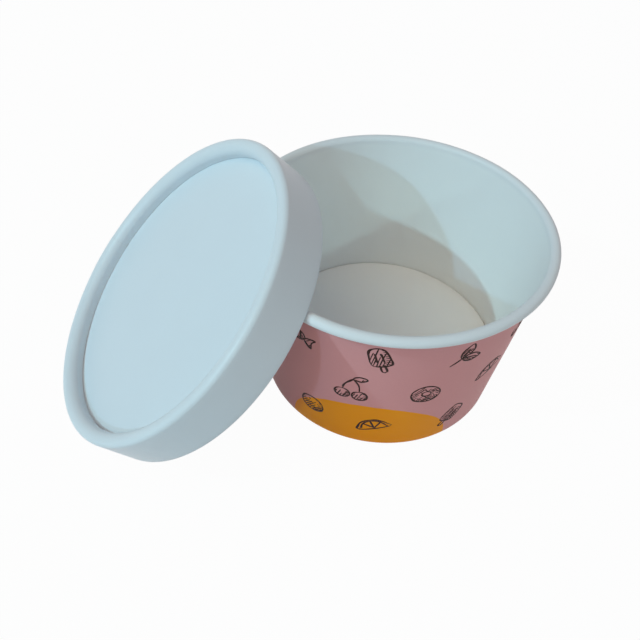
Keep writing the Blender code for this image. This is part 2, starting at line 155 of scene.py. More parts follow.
def new_finish(name):
    """A blank material, its Principled shader, and a reading of places on the piece in metres."""
    finish = bpy.data.materials.new(name)
    finish.use_nodes = True
    shader = finish.node_tree.nodes["Principled BSDF"]
    places = Reading(finish.node_tree, None).node("ShaderNodeTexCoord", result="Object")
    return finish, shader, places


def drive(shader, socket, reading):
    reading.tree.links.new(reading.socket, shader.inputs[socket])


def seen_share(tree):
    """1 on the rays that show a thing to the camera, straight or in a gloss or a glass, else 0."""
    rays = tree.nodes.new("ShaderNodeLightPath")
    seen = Reading(tree, rays.outputs["Is Camera Ray"])
    for ray in ("Is Glossy Ray", "Is Transmission Ray"):
        seen = seen.larger(Reading(tree, rays.outputs[ray]))
    return seen


WHITE = (1, 1, 1, 1)
TABLE_SPAN = 3
TABLE_DROP = 0.0001
TABLE_COLOUR = (0.60, 0.60, 0.59, 1)
TABLE_COLOUR_PALE = (0.63, 0.63, 0.62, 1)
TABLE_MOTTLE = 6
TABLE_ROUGHNESS = 0.7
TABLE_SHOWN_WHITE = 0.97
SURROUND_COLOUR = (0.245, 0.22, 0.255, 1)

bpy.ops.object.select_all(action="DESELECT")
bpy.ops.mesh.primitive_plane_add(size=TABLE_SPAN, location=(0, 0, cad_box[0][2] - TABLE_DROP))
table = bpy.context.object
table.name = "table"
finish, shader, places = new_finish("table_sheet")
drive(shader, "Base Color", places.noise(TABLE_MOTTLE).mix(TABLE_COLOUR, TABLE_COLOUR_PALE))
shader.inputs["Roughness"].default_value = TABLE_ROUGHNESS
seen = seen_share(finish.node_tree)
glow = seen.node("ShaderNodeEmission", None, {"Color": WHITE, "Strength": 1})
shown = seen.node("ShaderNodeMixShader", None, {
    0: seen * TABLE_SHOWN_WHITE, 1: Reading(finish.node_tree, shader.outputs[0]), 2: glow})
drive(finish.node_tree.nodes["Material Output"], "Surface", shown)
table.data.materials.append(finish)

world = bpy.data.worlds.new("surround")
bpy.context.scene.world = world
world.use_nodes = True
surround = world.node_tree.nodes["Background"]
surround.inputs["Strength"].default_value = 1
drive(surround, "Color", seen_share(world.node_tree).mix(SURROUND_COLOUR, WHITE))


def add_lamp(name, place, aim, size, power, colour):
    """A square soft light that faces a point."""
    bpy.ops.object.select_all(action="DESELECT")
    towards = Vector(aim) - Vector(place)
    bpy.ops.object.light_add(type="AREA", location=place,
                             rotation=towards.to_track_quat("-Z", "Y").to_euler())
    lamp = bpy.context.object
    lamp.name = name
    lamp.data.size = size
    lamp.data.energy = power
    lamp.data.color = colour


LAMP_AIM = (0.02, 0, 0.03)
# Name, place, size, power and colour of each lamp
LAMPS = (
    ("window_light", (-1.115, -0.18, 0.994), 0.03, 6.9, (0.45, 0.87, 1)),
    ("side_window_light", (-1.0, -0.826, 0.757), 0.03, 3.36, (0.36, 0.72, 1)),
    ("room_light", (0.682, -1.147, 0.734), 0.06, 2.24, (0.64, 1, 0.98)),
    ("ceiling_light", (-0.513, -0.346, 1.048), 0.9, 3.37, (1, 0.895, 0.62)))
for name, place, size, power, colour in LAMPS:
    add_lamp(name, place, LAMP_AIM, size, power, colour)


# Sidewall of the cup: one fan-shaped blank of coated white board, printed on its outside. It is
# wrapped and glued over itself behind the lid, rolled outwards into the rim's bead at the top, and
# turned in and up at the foot to grip the base.
CUP_AXIS = 0.028066
CUP_BOARD = 0.0004
BEAD = (0.0459, 0.0561)
BEAD_TURN = 0.0014
FOLD = (0.0379, 0.0006)
FOLD_TURN = 0.0004
HEM_FOLD = (0.037246, 0.0006)
HEM_TOP = 0.006
TAPER = math.radians(6.3628)
CURL_OPENING = math.radians(50)
CUP_LAP_AZIMUTH = math.radians(172)
LAP_WIDTH = 0.008
LAP_FADE = 0.013
LAP_RADIUS = 0.0385
WALL_ROUND = 288
CURL_STEPS = 26
WALL_STEPS = 20
FOLD_STEPS = 5
HEM_STEPS = 3
# Between these heights the sidewall is one plain cone, whose faces tell which way is out
PLAIN_WALL = (0.02, 0.04)
WAVINESS = 0.00024
WAVE_SIZE = 0.03

TURN = 2 * math.pi
HALF_TURN = math.pi
QUARTER_TURN = math.pi / 2
MERGE_REACH = 0.000002
SMOOTH_UNDER = math.radians(38)


def bend(centre, radius, start, end, steps):
    """Points round a bend in the half plane beside an axis, as (radius, height)."""
    points = []
    for step in range(steps + 1):
        angle = start + (end - start) * step / steps
        points.append((centre[0] + radius * math.cos(angle), centre[1] + radius * math.sin(angle)))
    return points


def straight(first, last, steps):
    """Points between two places, without the ends."""
    return [tuple(Vector(first).lerp(Vector(last), step / steps)) for step in range(1, steps)]


def draw_section(name, points):
    """A piece that starts as one vertex and is drawn out along its board's middle line."""
    bpy.ops.object.select_all(action="DESELECT")
    radius, height = points[0]
    bpy.ops.mesh.primitive_plane_add(size=CUP_BOARD)
    piece = bpy.context.object
    piece.name = name
    bpy.ops.object.mode_set(mode="EDIT")
    bpy.ops.mesh.select_all(action="SELECT")
    bpy.ops.mesh.merge(type="CENTER")
    bpy.ops.transform.translate(value=(radius, 0, height))
    for before, after in zip(points, points[1:]):
        step = (after[0] - before[0], 0, after[1] - before[1])
        bpy.ops.mesh.extrude_vertices_move(TRANSFORM_OT_translate={"value": step})
    bpy.ops.object.mode_set(mode="OBJECT")
    return piece


def spin_section(piece, steps, angle=TURN, start=0):
    """Sweeps the drawn line round the upright axis. Each step adds one copy of the line."""
    bpy.ops.object.mode_set(mode="EDIT")
    bpy.ops.mesh.select_all(action="SELECT")
    if start:
        bpy.ops.transform.rotate(value=-start, orient_axis="Z", center_override=(0, 0, 0))
    bpy.ops.mesh.spin(steps=steps, angle=angle, center=(0, 0, 0), axis=(0, 0, -1))
    bpy.ops.object.mode_set(mode="OBJECT")


def turn_out(piece, facing):
    """Turns a sheet over if its faces look against the way that the test says is outwards."""
    if sum(facing(face.center, face.normal) for face in piece.data.polygons) < 0:
        bpy.ops.object.mode_set(mode="EDIT")
        bpy.ops.mesh.select_all(action="SELECT")
        bpy.ops.mesh.flip_normals()
        bpy.ops.object.mode_set(mode="OBJECT")


def weld(piece, facing):
    """Closes seams and poles, and makes all faces of a sheet look the way that is outwards."""
    bpy.ops.object.mode_set(mode="EDIT")
    bpy.ops.mesh.select_all(action="SELECT")
    bpy.ops.mesh.remove_doubles(threshold=MERGE_REACH)
    bpy.ops.mesh.normals_make_consistent(inside=False)
    bpy.ops.object.mode_set(mode="OBJECT")
    turn_out(piece, facing)


def weigh(piece, name, share_at):
    """A vertex group whose weights come from each vertex's index and place."""
    group = piece.vertex_groups.new(name=name)
    for vertex in piece.data.vertices:
        share = share_at(vertex.index, vertex.co)
        if share > 0:
            group.add([vertex.index], min(share, 1), "REPLACE")
    return group.name


def modify(piece, kind, **settings):
    """Adds a modifier and applies it."""
    modifier = piece.modifiers.new(kind.lower(), kind)
    for name, value in settings.items():
        setattr(modifier, name, value)
    bpy.ops.object.modifier_apply(modifier=modifier.name)


def ramp(value, start, end):
    return min(max((value - start) / (end - start), 0), 1)


def lap_lift(along, board):
    """How far the blank's outer end rides over its inner end, as a share of the board."""
    landing = LAP_WIDTH + board
    return 1 - ramp(along, landing, landing + LAP_FADE)


def clouds(name, size):
    texture = bpy.data.textures.new(name, "CLOUDS")
    texture.noise_scale = size
    texture.noise_depth = 1
    return texture


curl = bend(BEAD, BEAD_TURN, CURL_OPENING - HALF_TURN, HALF_TURN - TAPER, CURL_STEPS)
foot_bend = bend(FOLD, FOLD_TURN, -TAPER, -QUARTER_TURN, FOLD_STEPS)
hem_bend = bend(HEM_FOLD, FOLD_TURN, -QUARTER_TURN, -HALF_TURN - TAPER, FOLD_STEPS)
hem_end = (hem_bend[-1][0] + (HEM_TOP - hem_bend[-1][1]) * math.tan(TAPER), HEM_TOP)
section = (curl + straight(curl[-1], foot_bend[0], WALL_STEPS) + foot_bend + hem_bend
           + straight(hem_bend[-1], hem_end, HEM_STEPS) + [hem_end])

sidewall = draw_section("cup_sidewall_board", section)
lap_turn = LAP_WIDTH / LAP_RADIUS
spin_section(sidewall, WALL_ROUND, TURN + lap_turn, CUP_LAP_AZIMUTH)
step_turn = (TURN + lap_turn) / WALL_ROUND
lapped = weigh(sidewall, "lap", lambda index, place:
               lap_lift(index // len(section) * step_turn * LAP_RADIUS, CUP_BOARD)
               * ramp(place.z, HEM_TOP / 2, HEM_TOP))


def away_from_axis(place, normal, low, high):
    """More than 0 for a face between two heights that looks away from the upright axis."""
    if not low < place.z < high:
        return 0
    return place.x * normal.x + place.y * normal.y


weld(sidewall, lambda place, normal: away_from_axis(place, normal, *PLAIN_WALL))
firm = weigh(sidewall, "firm", lambda index, place: ramp(place.z, HEM_TOP, 3 * HEM_TOP))
modify(sidewall, "DISPLACE", strength=WAVINESS, mid_level=0.5, vertex_group=firm,
       texture=clouds("hand_made_round", WAVE_SIZE))
modify(sidewall, "DISPLACE", strength=CUP_BOARD, mid_level=0, vertex_group=lapped)


def paint_slots(piece, finishes, slot_of):
    """Puts finishes on a piece, and picks one for each face by its place and normal."""
    for finish in finishes:
        piece.data.materials.append(finish)
    for face in piece.data.polygons:
        face.material_index = slot_of(face.center, face.normal)


# Noises of the board as scale, detail and roughness, and how much of each shows
FIBRES = (900, 4, 0.6)
SMALL_PATCHES = (45, 3)
LARGE_PATCHES = (13, 2)
SMALL_PATCH_SHARE = 0.4
PATCH_FLOOR = 0.2
FIBRE_MOTTLE = 0.35
PATCH_MOTTLE = 1.1
COCKLE = (110, 2)
COCKLE_RELIEF = 1.6
FIBRE_RELIEF = 0.7
BOARD_RELIEF = 0.00003
BOARD_GLOSS = 0.22
FIBRE_DULLING = 0.14
RELIEF_STRENGTH = 0.35


def coated_board(name, colour, shade=0.93, roughness=0.42, painted_rim_shade=None):
    """Food board with a thin plastic coating: satin, with the faint mottling and tooth of paper.

    A last argument, if given, fades the board to a darker colour between two heights: painted
    shade, not a colour of the board.
    """
    finish, shader, places = new_finish(name)
    fibres = places.noise(*FIBRES)
    patches = (places.noise(*SMALL_PATCHES) * SMALL_PATCH_SHARE
               + places.noise(*LARGE_PATCHES) * (1 - SMALL_PATCH_SHARE))
    mottle = (fibres * FIBRE_MOTTLE + (patches - PATCH_FLOOR) * PATCH_MOTTLE).clamp()
    white = mottle.mix((*(shade * part for part in colour), 1), (*colour, 1))
    # Painted shade: between two heights the board fades to a darker colour
    if painted_rim_shade:
        painted_shade_colour, low, high = painted_rim_shade
        white = ((places.part("Z") - low) / (high - low)).clamp().mix(white, painted_shade_colour)
    drive(shader, "Base Color", white)
    drive(shader, "Roughness", roughness + FIBRE_DULLING * fibres)
    press(shader, fibres * FIBRE_RELIEF + places.noise(*COCKLE) * COCKLE_RELIEF, BOARD_RELIEF)
    shader.inputs["Specular IOR Level"].default_value = BOARD_GLOSS
    return finish


def press(shader, relief, depth):
    """Bump from a reading, over a depth in metres."""
    bump = relief.node("ShaderNodeBump", None,
                       {"Height": relief, "Distance": depth, "Strength": RELIEF_STRENGTH})
    drive(shader, "Normal", bump)


PULP = (2600, 3, 0.7)
PULP_DARK = (0.62, 0.57, 0.49, 1)
PULP_PALE = (0.82, 0.78, 0.70, 1)
PULP_ROUGHNESS = 0.8
PULP_DULLING = 0.15
PULP_RELIEF = 0.00006


def cut_edge(name):
    """The bare cut edge of board: warmer, rough, with the layers of its pulp."""
    finish, shader, places = new_finish(name)
    pulp = places.noise(*PULP)
    drive(shader, "Base Color", pulp.mix(PULP_DARK, PULP_PALE))
    drive(shader, "Roughness", PULP_ROUGHNESS + PULP_DULLING * pulp)
    press(shader, pulp, PULP_RELIEF)
    return finish


# Printed outside of the blank: a pink ground and amber hills that rise from the foot. A hill has
# its middle and half width as shares of a turn, and its top as a share of the cup's height.
CUP_HEIGHT = 0.0577
PRINT_FOOT = 0.0005
HILLS = ((0.6915, 0.106, 0.372), (0.06, 0.1, 0.26), (0.245, 0.07, 0.2), (0.42, 0.095, 0.3))
PRINT_EDGE = 0.00012
PRINT_WANDER = 0.0006
PRINT_WANDER_NOISE = (160, 2)
PRINT_GRAIN = (1400, 3, 0.65)
PRINT_PATCHES = (60, 2)
PRINT_GRAIN_SHARE = 0.7
PRINT_ROUGHNESS = 0.44
PRINT_DULLING = 0.16
PRINT_COCKLE_RELIEF = 1.4
PRINT_GLOSS = 0.12
PINK = (0.755, 0.318, 0.308, 1)
PINK_THIN = (0.80, 0.362, 0.352, 1)
AMBER = (0.98, 0.315, 0.002, 1)
AMBER_THIN = (1, 0.345, 0.004, 1)


def printed_board(name):
    """Pink and amber fields of satin ink, with a slightly uneven edge between them."""
    finish, shader, places = new_finish(name)
    across = places.part("Y")
    azimuth = across.maths("ARCTAN2", across, places.part("X") - CUP_AXIS) / TURN
    top = None
    for middle, half_width, share in HILLS:
        # The way from the hill's middle runs from minus half a turn to half a turn
        away = ((azimuth - middle + 1.5).fraction() - 0.5) / half_width
        hill = (1 - away * away).larger(0).root() * (share * CUP_HEIGHT + PRINT_FOOT) - PRINT_FOOT
        top = hill if top is None else top.larger(hill)
    uneven = (places.noise(*PRINT_WANDER_NOISE) - 0.5) * PRINT_WANDER
    amber_here = ((top + uneven - places.part("Z")) / PRINT_EDGE + 0.5).clamp()
    laid = (places.noise(*PRINT_GRAIN) * PRINT_GRAIN_SHARE
            + places.noise(*PRINT_PATCHES) * (1 - PRINT_GRAIN_SHARE)).clamp()
    pink = laid.mix(PINK, PINK_THIN)
    amber = laid.mix(AMBER, AMBER_THIN)
    drive(shader, "Base Color", amber_here.mix(pink, amber))
    drive(shader, "Roughness", PRINT_ROUGHNESS + PRINT_DULLING * laid)
    press(shader, laid + places.noise(*COCKLE) * PRINT_COCKLE_RELIEF, BOARD_RELIEF)
    shader.inputs["Specular IOR Level"].default_value = PRINT_GLOSS
    return finish


top_of_print = curl[-1][1]


def wall_slot(place, normal):
    """Print on the blank from just under the bead to the foot's fold, white board elsewhere."""
    radius = math.hypot(place.x, place.y)
    line = FOLD[0] + (place.z - FOLD[1]) * math.tan(TAPER)
    printed = place.z < top_of_print and radius > line - BEAD_TURN / 2
    return 0 if printed else 1


CUP_WHITE = (0.87, 0.89, 0.88)
CUP_SHADE = 0.965
# Painted shade on the cup's bead: a darker white than the cup's, though it is the same board, and
# the heights over which the board fades to it
BEAD_PAINTED_SHADE = (0.765, 0.785, 0.795, 1)
BEAD_PAINTED_SHADE_FROM = 0.0549
BEAD_PAINTED_SHADE_TO = 0.0573

inside_white = coated_board("coated_board_white", CUP_WHITE, shade=CUP_SHADE,
                            painted_rim_shade=(BEAD_PAINTED_SHADE, BEAD_PAINTED_SHADE_FROM, BEAD_PAINTED_SHADE_TO))
raw = cut_edge("cut_board_edge")
# Two outer finishes, then the inner one of each, then the cut edge of each
finishes = [printed_board("printed_board"), inside_white, inside_white, raw, raw]
paint_slots(sidewall, finishes, wall_slot)
modify(sidewall, "SOLIDIFY", thickness=CUP_BOARD, offset=0, use_even_offset=True,
       material_offset=1, material_offset_rim=3)


def settle(piece, shift, turn=(0, 0, 0)):
    """Moves a piece from the axis it was made on to its place, which goes into its mesh."""
    piece.location = shift
    piece.rotation_euler = turn
    bpy.ops.object.select_all(action="DESELECT")
    piece.select_set(True)
    bpy.context.view_layer.objects.active = piece
    bpy.ops.object.transform_apply(location=True, rotation=True, scale=True)
    bpy.ops.object.shade_smooth_by_angle(angle=SMOOTH_UNDER)


CUP_PLACE = (CUP_AXIS, 0, 0)
settle(sidewall, CUP_PLACE)
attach(sidewall, "root")
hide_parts("cup_sidewall")


# Pen drawings of sweets, printed in one dark ink over the pink and the amber. Each stroke is a
# film of ink that follows the board: outlines gone over twice by hand, hatched inside.
INK_WIDTH = 0.0005
INK_FILM = 0.000012
INK_CLEARANCE = 0.000012
DRAWING_SIZE = 0.012
UNROLLED = 0.0425
PEN_STEP = 0.00055
HATCH_STEP = 0.00078
HATCH_UNEVEN = (0.8, 1.2)
HATCH_ANGLE = math.radians(62)
HAND_SEED = 7
# How the pen wavers along a stroke: once in this length, at these rates across and up
WAVER_LENGTH = 0.004
WAVER_ACROSS = (2.3, 5.1)
WAVER_UP = (2.9, 4.3)
PRESSURE_RATE = 3.7
PRESSURE_CHANGE = 0.22
TIP_WIDTH = 0.45
TIP_SPREAD = 5
# Width as a share of the ink's, and waver in metres, of each kind of stroke. The second outline
# leaves out the first of so many equal parts of a stroke.
FIRST_OUTLINE = (1, 0.00004)
SECOND_OUTLINE = (0.75, 0.00018)
SECOND_OUTLINE_PARTS = 9
HATCHING = (0.7, 0.00006)
# Least and most of its way that a line of hatching runs, and of one that crosses it
HATCH_REACH = (0.35, 1)
CROSS_REACH = (0.2, 0.5)
INK = (0.016, 0.006, 0.004, 1)
INK_THIN = (0.085, 0.034, 0.027, 1)
INK_GRAIN = (1100, 3, 0.6)
INK_GRAIN_GAIN = 1.6
INK_GRAIN_FLOOR = 0.45
INK_ROUGHNESS = 0.5
INK_DULLING = 0.2

# Strokes from point to point in shares of a drawing's size
CHERRIES = (
    ((-0.208, -0.067), (-0.332, -0.11), (-0.397, -0.218), (-0.374, -0.342), (-0.274, -0.422),
     (-0.143, -0.422), (-0.042, -0.342), (-0.02, -0.218), (-0.085, -0.11), (-0.208, -0.067)),
    ((0.217, -0.125), (0.099, -0.166), (0.036, -0.27), (0.058, -0.388), (0.154, -0.464),
     (0.279, -0.464), (0.375, -0.388), (0.397, -0.27), (0.335, -0.166), (0.217, -0.125)),
    ((-0.183, -0.067), (-0.075, 0.183), (0.117, 0.392)),
    ((0.225, -0.125), (0.225, 0.15), (0.117, 0.392)),
    ((0.117, 0.392), (0.267, 0.492), (0.467, 0.417), (0.308, 0.325), (0.117, 0.392)))
ICE_LOLLY = (
    ((-0.208, -0.2), (-0.217, 0.233), (-0.125, 0.408), (0.125, 0.408), (0.217, 0.233),
     (0.208, -0.2), (-0.208, -0.2)),
    ((-0.05, -0.2), (-0.05, -0.45), (0.05, -0.45), (0.05, -0.2)),
    ((-0.075, -0.1), (-0.075, 0.242)),
    ((0.075, -0.1), (0.075, 0.242)))
WRAPPED_SWEET = (
    ((0.217, 0), (0.153, 0.13), (0, 0.183), (-0.153, 0.13), (-0.217, 0), (-0.153, -0.13),
     (0, -0.183), (0.153, -0.13), (0.217, 0)),
    ((-0.217, 0.033), (-0.45, 0.192), (-0.408, 0), (-0.45, -0.192), (-0.217, -0.033)),
    ((0.217, 0.033), (0.45, 0.192), (0.408, 0), (0.45, -0.192), (0.217, -0.033)),
    ((-0.092, 0.167), (0.008, -0.183)),
    ((0.058, 0.175), (0.142, -0.133)))
DOUGHNUT = (
    ((0.358, 0), (0.31, 0.167), (0.179, 0.289), (0, 0.333), (-0.179, 0.289), (-0.31, 0.167),
     (-0.358, 0), (-0.31, -0.167), (-0.179, -0.289), (0, -0.333), (0.179, -0.289), (0.31, -0.167),
     (0.358, 0)),
    ((0.125, 0.017), (0.081, 0.095), (-0.018, 0.114), (-0.097, 0.06), (-0.097, -0.027),
     (-0.018, -0.081), (0.081, -0.062), (0.125, 0.017)),
    ((-0.267, -0.042), (-0.217, 0.033)),
    ((-0.158, 0.183), (-0.083, 0.217)),
    ((0.092, 0.208), (0.158, 0.158)),
    ((0.208, 0.017), (0.258, -0.058)),
    ((0.108, -0.225), (0.167, -0.158)),
    ((-0.142, -0.2), (-0.067, -0.217)))
CITRUS_SLICE = (
    ((0.408, -0.183), (0.377, -0.027), (0.289, 0.105), (0.156, 0.194), (0, 0.225), (-0.156, 0.194),
     (-0.289, 0.105), (-0.377, -0.027), (-0.408, -0.183), (0.408, -0.183)),
    ((0.324, -0.136), (0.274, 0.017), (0.156, 0.127), (0, 0.167), (-0.156, 0.127), (-0.274, 0.017),
     (-0.324, -0.136)),
    ((0, -0.158), (0, 0.142)),
    ((0, -0.158), (-0.225, 0.058)),
    ((0, -0.158), (0.225, 0.058)))
BISCUIT = (
    ((0.298, 0.103), (0.192, 0.239), (0.025, 0.299), (-0.15, 0.264), (-0.277, 0.146),
     (-0.316, -0.019), (-0.255, -0.178), (-0.113, -0.28), (0.065, -0.294), (0.222, -0.214),
     (0.309, -0.066), (0.298, 0.103)),
    ((-0.2, -0.075), (-0.15, -0.033)),
    ((-0.125, 0.142), (-0.067, 0.158)),
    ((-0.025, 0.017), (0.033, -0.008)),
    ((0.142, 0.1), (0.183, 0.05)),
    ((0.075, -0.158), (0.125, -0.125)),
    ((-0.075, -0.192), (-0.033, -0.158)))
MINT_LEAVES = (
    ((-0.067, -0.067), (-0.133, 0.2), (0.05, 0.433), (0.158, 0.183), (-0.067, -0.067)),
    ((-0.067, -0.067), (0.167, 0.075), (0.433, -0.05), (0.192, -0.2), (-0.067, -0.067)),
    ((-0.067, -0.067), (-0.283, -0.333)),
    ((-0.067, -0.067), (0.025, 0.267)),
    ((-0.067, -0.067), (0.3, -0.058)))
# Each drawing with the groups of its closed strokes that hatching fills
DRAWINGS = (
    (CHERRIES, ((0,), (1,), (4,))),
    (ICE_LOLLY, ((0,),)),
    (WRAPPED_SWEET, ((0,), (1,), (2,))),
    (DOUGHNUT, ((0, 1),)),
    (CITRUS_SLICE, ((0, 1),)),
    (BISCUIT, ((0,),)),
    (MINT_LEAVES, ((0,), (1,))))
# Where each one is printed: share of a turn, share of the height, tilt in turns, which drawing
PLACES = (
    (0.6056, 0.78, -0.056, 2), (0.6944, 0.789, 0.05, 1), (0.7806, 0.771, -0.022, 6),
    (0.8667, 0.78, 0.039, 0), (0.9528, 0.763, -0.033, 3), (0.0389, 0.789, 0.028, 5),
    (0.125, 0.771, -0.044, 4), (0.2111, 0.78, 0.022, 2), (0.2972, 0.763, -0.028, 1),
    (0.3833, 0.789, 0.044, 6), (0.4639, 0.771, -0.017, 3), (0.6667, 0.511, 0.017, 0),
    (0.75, 0.494, -0.039, 3), (0.8333, 0.52, 0.056, 4), (0.9194, 0.485, -0.022, 6),
    (0.0083, 0.503, 0.033, 2), (0.1778, 0.511, -0.05, 0), (0.3389, 0.494, 0.028, 5),
    (0.4889, 0.503, -0.033, 2), (0.6194, 0.217, -0.028, 5), (0.6972, 0.199, 0.067, 4),
    (0.7972, 0.191, -0.083, 1), (0.1278, 0.208, 0.039, 6), (0.2583, 0.217, -0.044, 3))


def smooth_stroke(points):
    """A pen stroke through points, rounded where it bends and sampled at even steps."""
    ends = [points[0]] + list(points) + [points[-1]]
    if points[0] == points[-1]:
        ends[0], ends[-1] = points[-2], points[1]
    ends = [Vector(point) for point in ends]
    line = []
    for before, first, last, after in zip(ends, ends[1:], ends[2:], ends[3:]):
        steps = max(int((last - first).length / PEN_STEP), 1)
        pull = ((last - before) / 2, (after - first) / 2)
        for step in range(steps):
            share = step / steps
            line.append(first * (2 * share ** 3 - 3 * share ** 2 + 1)
                        + last * (3 - 2 * share) * share ** 2
                        + pull[0] * (share ** 3 - 2 * share ** 2 + share)
                        + pull[1] * (share ** 3 - share ** 2))
    return line + [ends[-2]]


def hatching(outlines, angle, least, most, hand):
    """Parallel pen lines inside closed outlines, each stopped short at a share of its way."""
    ahead = Vector((math.cos(angle), math.sin(angle)))
    aside = Vector((-ahead.y, ahead.x))
    sides = [side for outline in outlines for side in zip(outline, outline[1:] + outline[:1])]
    lines = []
    reach = min(first.dot(aside) for first, last in sides) + HATCH_STEP / 2
    while reach < max(first.dot(aside) for first, last in sides):
        meets = []
        for first, last in sides:
            low, high = first.dot(aside) - reach, last.dot(aside) - reach
            if (low < 0) != (high < 0):
                meets.append(first.lerp(last, low / (low - high)).dot(ahead))
        meets.sort()
        for start, end in zip(meets[::2], meets[1::2]):
            end = start + (end - start) * hand.uniform(least, most)
            if end - start > 2 * INK_WIDTH:
                ways = (start, (start + end) / 2, end)
                lines.append([ahead * way + aside * reach for way in ways])
        reach += HATCH_STEP * hand.uniform(*HATCH_UNEVEN)
    return lines


def waver(way, rates, starts):
    """Two swings of different length along a stroke, the second half as wide as the first."""
    return math.sin(way * rates[0] + starts[0]) + math.sin(way * rates[1] + starts[1]) / 2


def lay_stroke(drawings, line, kind, centre, tilt, hand):
    """Adds one stroke, which wavers and thins at its ends, to the drawings laid out flat."""
    width, wobble = kind
    spline = drawings.splines.new("POLY")
    spline.points.add(len(line) - 1)
    sway = [hand.uniform(0, TURN) for way in range(4)]
    for index, (place, point) in enumerate(zip(line, spline.points)):
        way = index * PEN_STEP / WAVER_LENGTH
        across = wobble * waver(way, WAVER_ACROSS, sway[:2])
        up = wobble * waver(way, WAVER_UP, sway[2:])
        turned = tilt @ (place + Vector((across, up)))
        height = centre[1] + turned.y
        radius = FOLD[0] + FOLD_TURN + height * math.tan(TAPER)
        point.co = (centre[0] * UNROLLED + turned.x * UNROLLED / radius, height, 0, 1)
        end = min(index, len(line) - 1 - index) / (len(line) - 1)
        pressure = 1 + PRESSURE_CHANGE * math.sin(way * PRESSURE_RATE + sway[1])
        point.radius = width * min(TIP_WIDTH + TIP_SPREAD * end, 1) * pressure
        point.tilt = QUARTER_TURN


hand = random.Random(HAND_SEED)
drawings = bpy.data.curves.new("cup_print_linework", "CURVE")
drawings.dimensions = "3D"
drawings.twist_mode = "Z_UP"
drawings.extrude = INK_WIDTH / 2
for share, rise, lean, which in PLACES:
    centre = (share * TURN, rise * CUP_HEIGHT)
    strokes, hatched = DRAWINGS[which]
    tilt = Matrix.Rotation(lean * TURN, 2)
    lines = [smooth_stroke([DRAWING_SIZE * Vector(point) for point in stroke])
             for stroke in strokes]
    for line in lines:
        lay_stroke(drawings, line, FIRST_OUTLINE, centre, tilt, hand)
        again = line[len(line) // SECOND_OUTLINE_PARTS:]
        lay_stroke(drawings, again, SECOND_OUTLINE, centre, tilt, hand)
    for group in hatched:
        outlines = [lines[index] for index in group]
        for line in (hatching(outlines, HATCH_ANGLE, *HATCH_REACH, hand)
                     + hatching(outlines, HATCH_ANGLE + QUARTER_TURN, *CROSS_REACH, hand)):
            lay_stroke(drawings, smooth_stroke(line), HATCHING, centre, tilt, hand)
linework = bpy.data.objects.new("cup_print_linework", drawings)
bpy.context.collection.objects.link(linework)
bpy.ops.object.select_all(action="DESELECT")
linework.select_set(True)
bpy.context.view_layer.objects.active = linework
bpy.ops.object.convert(target="MESH")
for vertex in linework.data.vertices:
    azimuth = vertex.co.x / UNROLLED
    height = vertex.co.y
    radius = FOLD[0] + FOLD_TURN + height * math.tan(TAPER) + CUP_BOARD
    vertex.co = (CUP_AXIS + radius * math.cos(azimuth), radius * math.sin(azimuth), height)
modify(linework, "SHRINKWRAP", target=sidewall, wrap_method="NEAREST_SURFACEPOINT",
       wrap_mode="ABOVE_SURFACE", offset=INK_CLEARANCE)


def pen_ink(name):
    """Offset ink: nearly black, thinner and browner where the board took less of it."""
    finish, shader, places = new_finish(name)
    thin = (places.noise(*INK_GRAIN) * INK_GRAIN_GAIN - INK_GRAIN_FLOOR).clamp()
    drive(shader, "Base Color", thin.mix(INK, INK_THIN))
    drive(shader, "Roughness", INK_ROUGHNESS + INK_DULLING * thin)
    shader.inputs["Specular IOR Level"].default_value = PRINT_GLOSS
    return finish


def away_from_cup(place, normal):
    return (place.x - CUP_AXIS) * normal.x + place.y * normal.y


turn_out(linework, away_from_cup)
paint_slots(linework, [pen_ink("pen_ink")], lambda place, normal: 0)
modify(linework, "SOLIDIFY", thickness=INK_FILM, offset=1)
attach(linework, "root")


# Base of the cup: a pressed disc of coated board with a skirt, glued in the pocket of the wall's
# foot. Its floor sags a little, and the skirt is gathered into small pleats.
BASE_BOARD = 0.00045
FLOOR_MIDDLE = 0.006975
BASE_SKIRT_FOOT = 0.0007
BASE_BEND_TURN = 0.000675
FLOOR_SAG = 0.0003
FLOOR_SAG_POWER = 4
FLOOR_STEPS = 24
BASE_BEND_STEPS = 7
SKIRT_STEPS = 5
BASE_ROUND = 256
PLEATS = 64
PLEAT_DEPTH = 0.00005
PLEATS_FULL_AT = 0.002
GLUE_GAP = 0.00008
# Painted light: the cup's floor is given a lighter, warmer white than the cup's wall, though it is
# the same board
BASE_WHITE_WITH_PAINTED_LIGHT = (0.915, 0.905, 0.885)
BASE_SHADE = 0.965

foot_radius, foot_height = foot_bend[0]
base_inset = (CUP_BOARD + BASE_BOARD) / 2 + GLUE_GAP
base_bend_height = FLOOR_MIDDLE - BASE_BEND_TURN
across = (base_bend_height - foot_height) * math.sin(TAPER) - base_inset - BASE_BEND_TURN
base_bend = (foot_radius + across / math.cos(TAPER), base_bend_height)
corner = bend(base_bend, BASE_BEND_TURN, QUARTER_TURN, -TAPER, BASE_BEND_STEPS)
skirt_end = (corner[-1][0] - (corner[-1][1] - BASE_SKIRT_FOOT) * math.tan(TAPER), BASE_SKIRT_FOOT)


def pressed_line(end, low, steps, power):
    """Points from the axis towards the end of a disc that lies lower in its middle."""
    points = []
    for step in range(steps):
        share = step / steps
        points.append((end[0] * share, end[1] - low * (1 - share ** power)))
    return points


